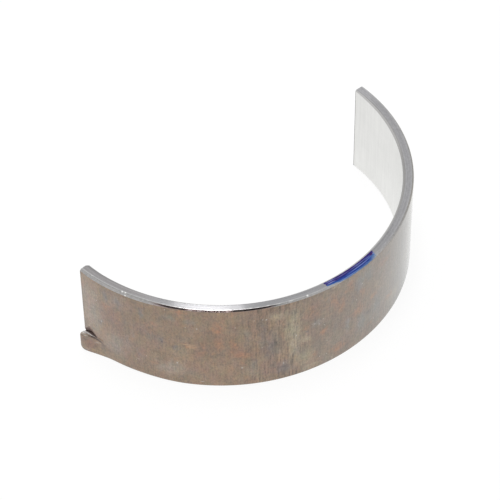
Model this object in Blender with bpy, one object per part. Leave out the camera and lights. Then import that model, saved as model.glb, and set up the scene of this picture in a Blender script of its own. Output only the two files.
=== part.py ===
# Half shell of a plain engine bearing, in its free state, standing on one side face.
# Metres, +Z up along the bore axis. The crown points to -Y and the locating lug is at the -X end.
# Origin: middle of the wall at the crown, on the lower side face.

import math

import bmesh
import bpy

MM = 0.001

# Driving dimensions of the strip and of its bend
HOUSING_RADIUS = 25.5 * MM  # bore of the housing that the shell is pressed into
FREE_SPREAD = 1.2 * MM  # how much wider the free shell is than that bore, on the diameter
CRUSH = 0.03 * MM  # how far each parting face stands proud of half the housing bore
WALL = 1.5 * MM  # steel back and lining together, at the crown
END_THINNING = 0.02 * MM  # how much thinner the wall is at the parting faces
WIDTH = 14.7 * MM

# Machined edges
OUTER_CHAMFER = 0.2 * MM  # on the back, along both side faces
OUTER_CHAMFER_AT_LUG = 0.34 * MM  # the same chamfer where it runs deeper, by the lug
CHAMFER_DEEP_UNTIL = 9.0 * MM  # arc length from the lug's parting face
CHAMFER_CHANGE = 6.5 * MM  # arc length over which the chamfer comes back to its size
BORE_CHAMFER = 0.42 * MM  # on the lining, along both side faces, at the crown
BORE_CHAMFER_AT_ENDS = 0.2 * MM  # the same chamfer at the parting faces
PARTING_EDGE_BREAK = 0.12 * MM  # bevel of the bore along each parting face

# Locating lug, sheared along one line and struck outwards at the lower corner
LUG_WIDTH = 3.1 * MM  # from the lower side face up to the shear line
LUG_HEIGHT = 0.92 * MM  # how far it stands out of the back at the parting face
LUG_LENGTH = 5.0 * MM  # arc length of its bend along the lower side face
LUG_SHEARED_LENGTH = 3.6 * MM  # arc length of its bend along the shear line
LUG_CORNER_RADIUS = 0.7 * MM  # free corner between parting face and side face
LUG_EDGE_ROUND = 0.3 * MM  # drawn-down outer edge along the shear line
POCKET_SHARE = 0.85  # depth of the punched pocket in the bore over the lug's height

# Torn nick in the back, over the shear line
NICK_LENGTH = 2.45 * MM  # arc length from the parting face
NICK_PEAK_FROM_END = 1.0 * MM
NICK_RISE = 1.15 * MM  # above the shear line, at its peak
NICK_DEPTH = 0.5 * MM  # into the wall, at its peak
NICK_SHARE_AT_END = 0.3  # how much of the nick is left open at the parting face
NICK_DROP = 0.35 * MM  # how far the lug's sheared face falls into the tear at the parting face

# Fineness of the facets
ARC_STEP = 1.2 * MM
LUG_STEP = 0.3 * MM
CORNER_STEPS = 4
MERGE_DISTANCE = 0.001 * MM

# Sizes that follow
OUTER_RADIUS = HOUSING_RADIUS + FREE_SPREAD / 2
ARC_LENGTH = math.pi * HOUSING_RADIUS + 2 * CRUSH
HALF_ANGLE = ARC_LENGTH / OUTER_RADIUS / 2
CROWN_ANGLE = -math.pi / 2
CROWN_MID_WALL = OUTER_RADIUS - WALL / 2

# Looks of the three surfaces: colour, roughness, metallic
FINISHES = {
    "tarnished_steel_back": ((0.29, 0.216, 0.162), 0.5, 0.85),
    "machined_steel_edge": ((0.36, 0.36, 0.37), 0.35, 1.0),
    "bright_bearing_lining": ((0.74, 0.74, 0.73), 0.28, 1.0),
}
BACK, EDGE, LINING = range(3)


def clear_scene():
    for old in list(bpy.data.objects):
        bpy.data.objects.remove(old, do_unlink=True)


def make_material(name):
    colour, roughness, metallic = FINISHES[name]
    material = bpy.data.materials.new(name)
    material.use_nodes = True
    shader = material.node_tree.nodes["Principled BSDF"]
    shader.inputs["Base Color"].default_value = (*colour, 1.0)
    shader.inputs["Roughness"].default_value = roughness
    shader.inputs["Metallic"].default_value = metallic
    material.diffuse_color = (*colour, 1.0)
    return material


def ease(share):
    """Smooth step from 0 to 1."""
    share = min(max(share, 0.0), 1.0)
    return share * share * (3 - 2 * share)


def outer_chamfer(arc):
    deeper = ease((CHAMFER_DEEP_UNTIL + CHAMFER_CHANGE - arc) / CHAMFER_CHANGE)
    return OUTER_CHAMFER + (OUTER_CHAMFER_AT_LUG - OUTER_CHAMFER) * deeper


def from_crown(arc):
    """0 at the crown, 1 at both parting faces, flat at the crown."""
    return (2 * arc / ARC_LENGTH - 1) ** 2


def bore_chamfer(arc):
    return BORE_CHAMFER + (BORE_CHAMFER_AT_ENDS - BORE_CHAMFER) * from_crown(arc)


def bore_radius(arc):
    """Radius of the lining: the wall thins towards the ends, whose edges are broken."""
    from_end = min(arc, ARC_LENGTH - arc)
    edge_break = max(PARTING_EDGE_BREAK - from_end, 0.0)
    return OUTER_RADIUS - WALL + END_THINNING * from_crown(arc) + edge_break


def lug_rise(arc, length):
    """How far the lug's back stands out, flat at the parting face and again at its root."""
    share = min(arc / length, 1.0)
    return LUG_HEIGHT * (1 - share) ** 3 * (1 + 3 * share)


def corner_lift(arc):
    """Height of the lug's lower edge, where its free corner is rounded."""
    short = max(LUG_CORNER_RADIUS - arc, 0.0)
    return LUG_CORNER_RADIUS - math.sqrt(LUG_CORNER_RADIUS**2 - short**2)


def nick_share(arc):
    """Size of the nick's section over its largest one."""
    if arc < NICK_PEAK_FROM_END:
        return NICK_SHARE_AT_END + (1 - NICK_SHARE_AT_END) * arc / NICK_PEAK_FROM_END
    return max(1 - (arc - NICK_PEAK_FROM_END) / (NICK_LENGTH - NICK_PEAK_FROM_END), 0.0)


def wall_section(arc):
    """Closed outline of the wall at an arc length from the lug's parting face.

    Each entry is radius, height and the surface that leads on to the next entry.
    Away from the lug, the entries along the shear line fall together.
    """
    low = corner_lift(arc)
    back = OUTER_RADIUS
    bore = bore_radius(arc)
    chamfer = outer_chamfer(arc)
    bevel = bore_chamfer(arc)
    lug_low = lug_rise(arc, LUG_LENGTH)
    lug_high = lug_rise(arc, LUG_SHEARED_LENGTH)
    lug_round = min(LUG_EDGE_ROUND, lug_high / 2)
    nick = nick_share(arc)
    tear = LUG_WIDTH - NICK_DROP * max(1 - arc / NICK_LENGTH, 0.0)
    drawn = lug_round * (1 - math.sqrt(0.5))
    return [
        (bore + POCKET_SHARE * lug_low + bevel, low, EDGE),
        (back + lug_low - chamfer, low, EDGE),
        (back + lug_low, low + chamfer, BACK),
        (back + lug_high, LUG_WIDTH - lug_round, BACK),
        (back + lug_high - drawn, LUG_WIDTH - drawn, BACK),
        (back + lug_high - lug_round, LUG_WIDTH, EDGE),
        (back, (LUG_WIDTH + tear) / 2, BACK),
        (back - NICK_DEPTH * nick, tear, BACK),
        (back, LUG_WIDTH + NICK_RISE * nick, BACK),
        (back, WIDTH - chamfer, EDGE),
        (back - chamfer, WIDTH, EDGE),
        (bore + bevel, WIDTH, LINING),
        (bore, WIDTH - bevel, LINING),
        (bore, LUG_WIDTH, EDGE),
        (bore + POCKET_SHARE * lug_high, LUG_WIDTH, LINING),
        (bore + POCKET_SHARE * lug_low, low + bevel, LINING),
    ]


def section_places():
    """Arc lengths of the sections: close together at the lug, even along the rest."""
    corner = [
        LUG_CORNER_RADIUS * (1 - math.cos(math.pi / 2 * i / CORNER_STEPS))
        for i in range(CORNER_STEPS + 1)
    ]
    lug_root = max(LUG_LENGTH, LUG_SHEARED_LENGTH, NICK_LENGTH)
    breaks = corner + [PARTING_EDGE_BREAK, NICK_PEAK_FROM_END, NICK_LENGTH, LUG_SHEARED_LENGTH]
    breaks += [LUG_LENGTH, CHAMFER_DEEP_UNTIL, CHAMFER_DEEP_UNTIL + CHAMFER_CHANGE]
    breaks += [ARC_LENGTH - PARTING_EDGE_BREAK, ARC_LENGTH]
    breaks.sort()
    places = [breaks[0]]
    for start, end in zip(breaks, breaks[1:]):
        step = LUG_STEP if end <= lug_root else ARC_STEP
        count = math.ceil((end - start) / step)
        places += [start + (end - start) * i / count for i in range(1, count + 1)]
    return places


def section_ring(mesh, arc):
    angle = CROWN_ANGLE - HALF_ANGLE + arc / OUTER_RADIUS
    along_x = math.cos(angle)
    along_y = math.sin(angle)
    return [
        mesh.verts.new((radius * along_x, radius * along_y + CROWN_MID_WALL, height))
        for radius, height, _ in wall_section(arc)
    ]


def loft_shell(mesh):
    places = section_places()
    surfaces = [surface for _, _, surface in wall_section(0.0)]
    rings = [section_ring(mesh, arc) for arc in places]
    for ring, following in zip(rings, rings[1:]):
        for i, surface in enumerate(surfaces):
            j = (i + 1) % len(surfaces)
            face = mesh.faces.new((ring[i], following[i], following[j], ring[j]))
            face.material_index = surface
    for parting_face in (rings[0], rings[-1][::-1]):
        mesh.faces.new(parting_face).material_index = EDGE
    bmesh.ops.remove_doubles(mesh, verts=mesh.verts, dist=MERGE_DISTANCE)
    bmesh.ops.recalc_face_normals(mesh, faces=mesh.faces)


def bearing_shell():
    mesh = bmesh.new()
    loft_shell(mesh)
    data = bpy.data.meshes.new("bearing_shell")
    mesh.to_mesh(data)
    mesh.free()
    for name in FINISHES:
        data.materials.append(make_material(name))
    data.shade_smooth()
    data.set_sharp_from_angle(angle=math.radians(25))
    shell = bpy.data.objects.new("bearing_shell", data)
    bpy.context.scene.collection.objects.link(shell)
    return shell


clear_scene()
bearing_shell()
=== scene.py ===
import math

import bmesh
import bpy
from mathutils import Matrix, Vector, noise


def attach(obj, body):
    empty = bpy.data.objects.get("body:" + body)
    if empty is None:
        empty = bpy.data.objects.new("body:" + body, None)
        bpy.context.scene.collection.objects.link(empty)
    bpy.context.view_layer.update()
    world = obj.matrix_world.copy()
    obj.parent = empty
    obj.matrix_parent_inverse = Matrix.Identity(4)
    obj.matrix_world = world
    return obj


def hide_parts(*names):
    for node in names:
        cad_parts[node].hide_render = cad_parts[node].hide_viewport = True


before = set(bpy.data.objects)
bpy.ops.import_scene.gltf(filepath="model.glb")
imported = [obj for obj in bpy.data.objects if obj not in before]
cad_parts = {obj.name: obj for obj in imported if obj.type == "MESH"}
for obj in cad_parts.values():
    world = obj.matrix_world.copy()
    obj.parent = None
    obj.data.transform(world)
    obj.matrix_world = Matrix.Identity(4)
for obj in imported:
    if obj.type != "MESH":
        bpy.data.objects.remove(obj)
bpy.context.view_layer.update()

# Looks of the half shell of a plain engine bearing. Lengths are in millimetres up to the mesh, which is in
# metres. A place on the shell is an arc length from the lug's parting face along the back, a depth from the
# back towards the bore, and a height over the lower side face. Floor, light and clipping are in metres.

MM = 0.001
NODE = "bearing_shell"
STRIP_MAP = "strip"

# Sizes of the solid
HOUSING_RADIUS = 25.5
FREE_SPREAD = 1.2
CRUSH = 0.03
WALL = 1.5
END_THINNING = 0.02
WIDTH = 14.7
OUTER_CHAMFER = 0.2
OUTER_CHAMFER_AT_LUG = 0.34
CHAMFER_DEEP_UNTIL = 9.0
CHAMFER_CHANGE = 6.5
BORE_CHAMFER = 0.42
BORE_CHAMFER_AT_ENDS = 0.2
PARTING_EDGE_BREAK = 0.12
LUG_WIDTH = 3.1
LUG_HEIGHT = 0.92
LUG_LENGTH = 5.0
LUG_SHEARED_LENGTH = 3.6
LUG_CORNER_RADIUS = 0.7
LUG_EDGE_ROUND = 0.3
POCKET_SHARE = 0.85
NICK_LENGTH = 2.45
NICK_PEAK_FROM_END = 1.0
NICK_RISE = 1.15
NICK_DEPTH = 0.5
NICK_SHARE_AT_END = 0.3
NICK_DROP = 0.35
OUTER_RADIUS = HOUSING_RADIUS + FREE_SPREAD / 2
ARC_LENGTH = math.pi * HOUSING_RADIUS + 2 * CRUSH
HALF_ANGLE = ARC_LENGTH / OUTER_RADIUS / 2
CROWN_ANGLE = -math.pi / 2
CROWN_MID_WALL = OUTER_RADIUS - WALL / 2

# Finer than the solid: worn edges and close facets
EDGE_ROUND = 0.035
ARC_STEP = 0.4
LUG_STEP = 0.1
LUG_END = 6.0
WORN_SECTION_SHARE = 0.3  # place of the section inside a parting face's worn edge
TORN_UNEVENNESS = 0.06
TORN_CELLS_ALONG = 3.2  # cells of that unevenness a millimetre
TORN_CELLS_ACROSS = 5.0
MERGE_DISTANCE = 0.0005
NO_LENGTH = 1e-9  # a run that is shorter has no direction
NORMAL_WEIGHT = 80
# The lug's lower edge is chamfered less than the rest, up to the second arc length
LUG_CHAMFER = 0.15
LUG_CHAMFER_GROWS = (2.9, 5.4)
# The chamfers of the upper side face lose some of their size towards the parting faces
CHAMFER_LOSS_AT_LUG = 0.11
CHAMFER_LOSS_LENGTH = 1.6
BORE_CHAMFER_LOSS = 0.1
BORE_CHAMFER_LOSS_LENGTH = 3.0

# The bore is broken more along the lug's parting face than along the other one
PARTING_EDGE_BREAK_AT_LUG = 0.34

# Thickness of the lining, seen on the side and parting faces
LINING_THICKNESS = 0.28

BACK, SIDE, CHAMFER, LINING, LINING_BEVEL, SHEARED, NICK, PARTING = range(8)
MEASURED_BY_DEPTH = (SIDE, CHAMFER, LINING_BEVEL, SHEARED)


def ease(share):
    share = min(max(share, 0.0), 1.0)
    return share * share * (3 - 2 * share)


def outer_chamfer(arc):
    deeper = ease((CHAMFER_DEEP_UNTIL + CHAMFER_CHANGE - arc) / CHAMFER_CHANGE)
    lost = CHAMFER_LOSS_AT_LUG * ease(1 - arc / CHAMFER_LOSS_LENGTH)
    return OUTER_CHAMFER + (OUTER_CHAMFER_AT_LUG - OUTER_CHAMFER) * deeper - lost


def lower_chamfer(arc):
    start, end = LUG_CHAMFER_GROWS
    return LUG_CHAMFER + (outer_chamfer(arc) - LUG_CHAMFER) * ease((arc - start) / (end - start))


def from_crown(arc):
    return (2 * arc / ARC_LENGTH - 1) ** 2


def bore_chamfer(arc):
    return BORE_CHAMFER + (BORE_CHAMFER_AT_ENDS - BORE_CHAMFER) * from_crown(arc)


def upper_bore_chamfer(arc):
    from_end = min(arc, ARC_LENGTH - arc)
    return bore_chamfer(arc) - BORE_CHAMFER_LOSS * ease(1 - from_end / BORE_CHAMFER_LOSS_LENGTH)


def bore_radius(arc):
    edge_break = max(PARTING_EDGE_BREAK_AT_LUG - arc, PARTING_EDGE_BREAK - (ARC_LENGTH - arc), 0.0)
    return OUTER_RADIUS - WALL + END_THINNING * from_crown(arc) + edge_break


def lug_rise(arc, length):
    share = min(arc / length, 1.0)
    return LUG_HEIGHT * (1 - share) ** 3 * (1 + 3 * share)


def corner_lift(arc):
    short = max(LUG_CORNER_RADIUS - arc, 0.0)
    return LUG_CORNER_RADIUS - math.sqrt(LUG_CORNER_RADIUS**2 - short**2)


def nick_share(arc):
    if arc < NICK_PEAK_FROM_END:
        return NICK_SHARE_AT_END + (1 - NICK_SHARE_AT_END) * arc / NICK_PEAK_FROM_END
    return max(1 - (arc - NICK_PEAK_FROM_END) / (NICK_LENGTH - NICK_PEAK_FROM_END), 0.0)


def wall_corners(arc):
    """Corners of the wall's section: radius, height, and the surface and facets of the run that follows."""
    low = corner_lift(arc)
    back = OUTER_RADIUS
    bore = bore_radius(arc)
    chamfer = outer_chamfer(arc)
    chamfer_low = lower_chamfer(arc)
    bevel = bore_chamfer(arc)
    bevel_high = upper_bore_chamfer(arc)
    lug_low = lug_rise(arc, LUG_LENGTH)
    lug_high = lug_rise(arc, LUG_SHEARED_LENGTH)
    lug_round = min(LUG_EDGE_ROUND, lug_high / 2)
    nick = nick_share(arc)
    tear = LUG_WIDTH - NICK_DROP * max(1 - arc / NICK_LENGTH, 0.0)
    drawn = lug_round * (1 - math.sqrt(0.5))
    return [
        (bore + POCKET_SHARE * lug_low + bevel, low, SIDE, 10),
        (back + lug_low - chamfer_low, low, CHAMFER, 2),
        (back + lug_low, low + chamfer_low, BACK, 10),
        (back + lug_high, LUG_WIDTH - lug_round, BACK, 2),
        (back + lug_high - drawn, LUG_WIDTH - drawn, BACK, 2),
        (back + lug_high - lug_round, LUG_WIDTH, SHEARED, 4),
        (back, (LUG_WIDTH + tear) / 2, NICK, 3),
        (back - NICK_DEPTH * nick, tear, NICK, 4),
        (back, LUG_WIDTH + NICK_RISE * nick, BACK, 34),
        (back, WIDTH - chamfer, CHAMFER, 2),
        (back - chamfer, WIDTH, SIDE, 10),
        (bore + bevel_high, WIDTH, LINING_BEVEL, 3),
        (bore, WIDTH - bevel_high, LINING, 28),
        (bore, LUG_WIDTH, SHEARED, 3),
        (bore + POCKET_SHARE * lug_high, LUG_WIDTH, LINING, 8),
        (bore + POCKET_SHARE * lug_low, low + bevel, LINING_BEVEL, 3),
    ]


def torn(arc, radius, height):
    """A point of a torn surface, moved a little out of its smooth place."""
    cell = Vector((arc * TORN_CELLS_ALONG, radius * TORN_CELLS_ACROSS, height * TORN_CELLS_ACROSS))
    return radius + TORN_UNEVENNESS * noise.noise(cell)


def worn_section(arc):
    """Closed outline with worn corners: radius, height and the surface of the facet that follows."""
    corners = [(Vector((r, z)), surface, facets) for r, z, surface, facets in wall_corners(arc)]
    runs = []
    for i, (start, surface, facets) in enumerate(corners):
        along = corners[(i + 1) % len(corners)][0] - start
        runs.append((start, along, along.length, surface, facets))
    worn = [min(EDGE_ROUND, runs[i - 1][2] / 2, run[2] / 2) for i, run in enumerate(runs)]
    outline = []
    for i, (start, along, length, surface, facets) in enumerate(runs):
        following = (i + 1) % len(runs)
        unit = along / length if length > NO_LENGTH else Vector((0.0, 0.0))
        first = start + unit * worn[i]
        last = start + along - unit * worn[following]
        for k in range(facets + 1):
            point = first.lerp(last, k / facets)
            inner = 0 < k < facets and length > TORN_UNEVENNESS
            radius = torn(arc, *point) if surface in (SHEARED, NICK) and inner else point.x
            outline.append((radius, point.y, surface))
        after = runs[following]
        unit_after = after[1] / after[2] if after[2] > NO_LENGTH else Vector((0.0, 0.0))
        corner = after[0]
        middle = (last + 2 * corner + (corner + unit_after * worn[following])) / 4
        outline.append((middle.x, middle.y, after[3]))
    return outline


def section_places():
    """Arc lengths of the sections, closer together at the lug and at the worn parting edges."""
    lug_count = round(LUG_END / LUG_STEP)
    lug = [EDGE_ROUND + (LUG_END - EDGE_ROUND) * i / lug_count for i in range(lug_count + 1)]
    plain = ARC_LENGTH - EDGE_ROUND - LUG_END
    count = math.ceil(plain / ARC_STEP)
    rest = [LUG_END + plain * i / count for i in range(1, count + 1)]
    breaks = [NICK_PEAK_FROM_END, NICK_LENGTH, PARTING_EDGE_BREAK_AT_LUG, ARC_LENGTH - PARTING_EDGE_BREAK]
    worn = EDGE_ROUND * WORN_SECTION_SHARE
    ends = [0.0, worn, ARC_LENGTH - worn, ARC_LENGTH]
    return sorted(lug + rest + breaks + ends)


def inset(outline, by):
    """The outline moved inwards, for the worn edge round a parting face."""
    moved = []
    for i, (r, z, surface) in enumerate(outline):
        before, after = outline[i - 1], outline[(i + 1) % len(outline)]
        along = Vector((after[0] - before[0], after[1] - before[1]))
        if along.length > NO_LENGTH:
            along.normalize()
        moved.append((r - along.y * by, z + along.x * by, surface))
    return moved


def place_on_shell(arc, radius, height):
    angle = CROWN_ANGLE - HALF_ANGLE + arc / OUTER_RADIUS
    return Vector((radius * math.cos(angle), radius * math.sin(angle) + CROWN_MID_WALL, height)) * MM


def shell_mesh():
    mesh = bmesh.new()
    strip = mesh.verts.layers.float_vector.new("strip_place")
    rings = []
    surfaces = []
    for arc in section_places():
        outline = worn_section(arc)
        from_end = min(arc, ARC_LENGTH - arc)
        if from_end < EDGE_ROUND:
            share = 1 - from_end / EDGE_ROUND
            outline = inset(outline, EDGE_ROUND * share**2)
        ring = []
        for radius, height, _ in outline:
            vertex = mesh.verts.new(place_on_shell(arc, radius, height))
            vertex[strip] = Vector((arc, OUTER_RADIUS - radius, height))
            ring.append(vertex)
        rings.append(ring)
        surfaces = [surface for _, _, surface in outline]
    for ring, following in zip(rings, rings[1:]):
        for i, surface in enumerate(surfaces):
            j = (i + 1) % len(surfaces)
            mesh.faces.new((ring[i], following[i], following[j], ring[j])).material_index = surface
    for end in (rings[0], rings[-1][::-1]):
        mesh.faces.new(end).material_index = PARTING
    bmesh.ops.remove_doubles(mesh, verts=mesh.verts, dist=MERGE_DISTANCE * MM)
    bmesh.ops.recalc_face_normals(mesh, faces=mesh.faces)
    unroll(mesh, strip)
    data = bpy.data.meshes.new("worn_bearing_shell")
    mesh.to_mesh(data)
    mesh.free()
    return data


def unroll(mesh, strip):
    """UV map in millimetres: arc against height or depth, and depth against height on the parting faces."""
    layer = mesh.loops.layers.uv.new(STRIP_MAP)
    for face in mesh.faces:
        for corner in face.loops:
            arc, depth, height = corner.vert[strip]
            if face.material_index == PARTING:
                corner[layer].uv = (depth, height)
            elif face.material_index in MEASURED_BY_DEPTH:
                corner[layer].uv = (arc, depth)
            else:
                corner[layer].uv = (arc, height)


# Noises: cells a millimetre along the arc and across it, shift, detail and roughness
NOISES = {
    "tarnish clouds": (0.22, 0.2, 3.0, 3.0, 0.6),
    "tarnish mottle": (1.3, 1.0, 11.0, 4.0, 0.65),
    "ragged outlines": (0.9, 0.7, 0.0, 4.0, 0.6),
    "back grain": (4.0, 2.3, 21.0, 4.0, 0.78),
    "redder": (0.62, 0.36, 52.0, 5.0, 0.76),
    "bluer": (1.0, 0.5, 63.0, 4.0, 0.76),
    "streaks": (2.6, 0.14, 5.0, 3.0, 0.65),
    "fine streaks": (4.4, 0.3, 8.0, 3.0, 0.6),
    "dashes": (4.2, 0.45, 71.0, 2.0, 0.6),
    "specks": (4.5, 3.6, 40.0, 0.0, 0.5),
    "coarse turned lines": (0.035, 2.4, 2.0, 2.0, 0.7),
    "fine turned lines": (0.12, 6.0, 6.0, 2.0, 0.6),
    "edge wear": (0.7, 3.0, 19.0, 3.0, 0.6),
    "inner rings": (0.12, 4.6, 44.0, 1.0, 0.5),
    "side grain": (4.0, 6.0, 9.0, 3.0, 0.7),
    "coarse side grain": (1.6, 3.0, 29.0, 3.0, 0.7),
    "paint edge": (1.2, 4.0, 17.0, 3.0, 0.6),
    "paint mottle": (1.6, 3.0, 3.0, 3.0, 0.6),
    "brush streaks": (0.7, 8.5, 31.0, 1.0, 0.5),
    "chamfer grain": (3.0, 5.0, 13.0, 3.0, 0.7),
    "crust": (1.6, 1.0, 23.0, 3.0, 0.65),
    "bevel grain": (4.0, 5.0, 33.0, 3.0, 0.7),
    "upright lines": (2.4, 0.12, 4.0, 3.0, 0.6),
    "bored lines": (0.08, 7.0, 14.0, 2.0, 0.6),
    "lining clouds": (0.3, 0.3, 24.0, 3.0, 0.6),
    "torn streaks": (0.6, 4.5, 3.0, 3.0, 0.65),
    "torn grain": (4.0, 3.0, 7.0, 4.0, 0.7),
    "broached lines": (1.5, 14.0, 5.0, 2.0, 0.6),
}
# Most values of a noise lie in the wide range, and the narrow one gives it more contrast
WIDE = (0.3, 0.7)
NARROW = (0.35, 0.65)


class Shader:
    """Short calls that build one material's nodes."""

    def __init__(self, name):
        self.material = bpy.data.materials.new(name)
        self.material.use_nodes = True
        self.tree = self.material.node_tree
        self.surface = self.tree.nodes["Principled BSDF"]
        strip = self.node("ShaderNodeUVMap", uv_map=STRIP_MAP)
        self.place = strip.outputs["UV"]
        parts = self.node("ShaderNodeSeparateXYZ", {"Vector": self.place})
        self.arc = parts.outputs["X"]
        self.across = parts.outputs["Y"]

    def node(self, kind, inputs=None, **settings):
        made = self.tree.nodes.new(kind)
        for key, value in settings.items():
            setattr(made, key, value)
        for key, value in (inputs or {}).items():
            self.put(made.inputs[key], value)
        return made

    def put(self, socket, value):
        if isinstance(value, bpy.types.NodeSocket):
            self.tree.links.new(value, socket)
        elif socket.type == "RGBA":
            socket.default_value = (*value, 1.0)
        else:
            socket.default_value = value

    def math(self, operation, a, b=0.0, c=0.0):
        return self.node("ShaderNodeMath", {0: a, 1: b, 2: c}, operation=operation).outputs[0]

    def plus(self, a, b):
        return self.math("ADD", a, b)

    def minus(self, a, b):
        return self.math("SUBTRACT", a, b)

    def times(self, a, b):
        return self.math("MULTIPLY", a, b)

    def larger(self, a, b):
        return self.math("MAXIMUM", a, b)

    def apart(self, a, b):
        """Distance between two values."""
        return self.math("ABSOLUTE", self.minus(a, b))

    def vector(self, operation, a, b=(0.0, 0.0, 0.0), c=(0.0, 0.0, 0.0)):
        made = self.node("ShaderNodeVectorMath", {0: a, 1: b, 2: c}, operation=operation)
        return made.outputs["Value" if operation == "LENGTH" else "Vector"]

    def step(self, value, start, end, low=0.0, high=1.0):
        """Smooth step of value from start to end."""
        made = self.node(
            "ShaderNodeMapRange",
            {"Value": value, "From Min": start, "From Max": end, "To Min": low, "To Max": high},
            interpolation_type="SMOOTHSTEP",
        )
        return made.outputs["Result"]

    def swing(self, value, amount):
        """A noise made into a change of shade, up to the amount down or up."""
        return self.step(value, *WIDE, -amount, amount)

    def noise(self, name, output="Fac"):
        """Noise from 0 to 1."""
        along, across, shift, detail, rough = NOISES[name]
        stretched = self.vector("MULTIPLY_ADD", self.place, (along, across, 1.0), (shift, shift, shift))
        made = self.node(
            "ShaderNodeTexNoise",
            {"Vector": stretched, "Scale": 1.0, "Detail": detail, "Roughness": rough},
        )
        return made.outputs[output]

    def mix(self, share, a, b, blend="MIX"):
        made = self.node("ShaderNodeMix", data_type="RGBA", blend_type=blend)
        self.put(made.inputs[0], share)
        self.put(made.inputs[6], a)
        self.put(made.inputs[7], b)
        return made.outputs[2]

    def shaded(self, colour, shade):
        """The colour times a shade that lies around 1."""
        made = self.node("ShaderNodeVectorMath", operation="SCALE")
        self.put(made.inputs[0], Vector(colour) if isinstance(colour, tuple) else colour)
        self.put(made.inputs["Scale"], shade)
        return made.outputs["Vector"]

    def bump(self, height, distance):
        return self.node("ShaderNodeBump", {"Height": height, "Distance": distance * MM}).outputs["Normal"]

    def finish(self, colour, roughness, metallic, normal, **fixed):
        for key, value in (("Base Color", colour), ("Roughness", roughness), ("Metallic", metallic),
                           ("Normal", normal)):
            self.put(self.surface.inputs[key], value)
        for key, value in fixed.items():
            self.surface.inputs[key.replace("_", " ")].default_value = value
        return self.material


# Stains on the back: arc, height, half length along the arc, half height, strength
RUST_STAINS = (
    (20.0, 11.3, 0.6, 1.2, 1.0), (20.3, 8.0, 0.6, 1.5, 0.8), (16.1, 7.7, 0.9, 0.5, 0.9),
    (18.0, 7.8, 0.4, 0.5, 0.7), (22.1, 7.9, 0.7, 1.6, 1.0), (23.3, 6.1, 1.1, 0.9, 1.0),
    (18.0, 6.2, 0.7, 0.7, 0.5), (15.3, 14.0, 1.2, 0.45, 0.9), (21.6, 14.0, 0.9, 0.5, 0.6),
    (6.3, 9.0, 0.8, 1.5, 0.5), (4.5, 10.8, 1.0, 0.5, 0.5), (11.3, 10.9, 0.4, 0.6, 0.6),
    (11.5, 3.2, 0.8, 0.7, 0.5), (34.9, 6.8, 0.6, 0.9, 0.8), (36.9, 2.1, 1.3, 1.0, 0.9),
    (40.5, 7.0, 1.5, 1.2, 0.6), (43.9, 7.6, 1.2, 0.7, 0.6), (32.0, 8.7, 0.5, 0.6, 0.6),
    (33.4, 3.0, 0.6, 0.8, 0.5), (41.4, 10.2, 0.8, 0.8, 0.5), (46.3, 12.0, 1.4, 0.8, 0.4),
    (32.6, 11.5, 1.0, 1.2, 0.5), (37.6, 10.0, 0.7, 1.6, 0.6), (36.4, 11.5, 1.0, 2.0, 0.5),
    (39.0, 12.4, 0.7, 1.2, 0.6), (47.6, 3.7, 1.1, 0.6, 0.5), (43.0, 2.4, 0.5, 0.6, 0.5),
    (1.2, 1.8, 0.9, 0.8, 0.5), (20.9, 11.6, 0.5, 1.6, 0.4), (19.5, 6.7, 0.4, 0.5, 0.6),
    (23.2, 4.5, 0.35, 0.6, 0.6), (10.9, 9.6, 0.5, 1.4, 0.4), (22.3, 7.2, 2.0, 2.8, 0.25),
    (34.6, 11.2, 2.0, 2.4, 0.22),
)
SLATE_STAINS = (
    (4.3, 12.8, 0.5, 0.9, 0.8), (9.8, 12.4, 0.4, 1.2, 0.7), (6.4, 12.0, 0.4, 1.2, 0.5),
    (11.8, 8.3, 1.4, 0.9, 0.5), (12.5, 7.6, 0.4, 0.4, 0.8), (14.4, 7.2, 0.6, 0.5, 0.7),
    (7.5, 6.0, 0.5, 1.2, 0.6), (27.3, 7.0, 1.1, 3.2, 0.7), (28.9, 2.2, 1.2, 1.6, 0.9),
    (40.2, 11.6, 0.6, 1.4, 0.6), (42.8, 4.9, 0.7, 0.7, 0.6), (39.8, 9.5, 0.4, 0.5, 0.5),
    (32.3, 8.1, 0.4, 0.3, 0.6), (3.4, 7.0, 0.4, 0.7, 0.6), (26.0, 9.0, 0.6, 4.0, 0.5),
    (24.8, 4.0, 0.4, 1.2, 0.5), (7.2, 6.2, 0.35, 0.7, 0.5), (9.2, 4.2, 0.4, 0.9, 0.4),
)
GREY_STAINS = (
    (40.9, 12.0, 1.0, 1.8, 0.8), (41.3, 4.0, 1.1, 2.2, 0.7), (38.6, 5.6, 0.6, 1.5, 0.6),
    (35.5, 12.5, 0.4, 1.0, 0.4), (33.4, 9.0, 0.6, 0.7, 0.5), (42.5, 12.6, 1.6, 1.6, 0.7),
    (44.6, 4.5, 1.8, 3.0, 0.6), (13.6, 12.7, 0.9, 0.8, 0.4), (16.4, 12.4, 0.7, 0.6, 0.4),
    (6.3, 12.4, 0.5, 1.0, 0.5), (8.4, 7.6, 0.4, 0.6, 0.4), (24.0, 9.5, 0.6, 2.4, 0.3),
    (57.5, 0.5, 6.0, 7.5, 0.42), (69.0, 13.0, 3.5, 2.0, 0.25),
)
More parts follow.
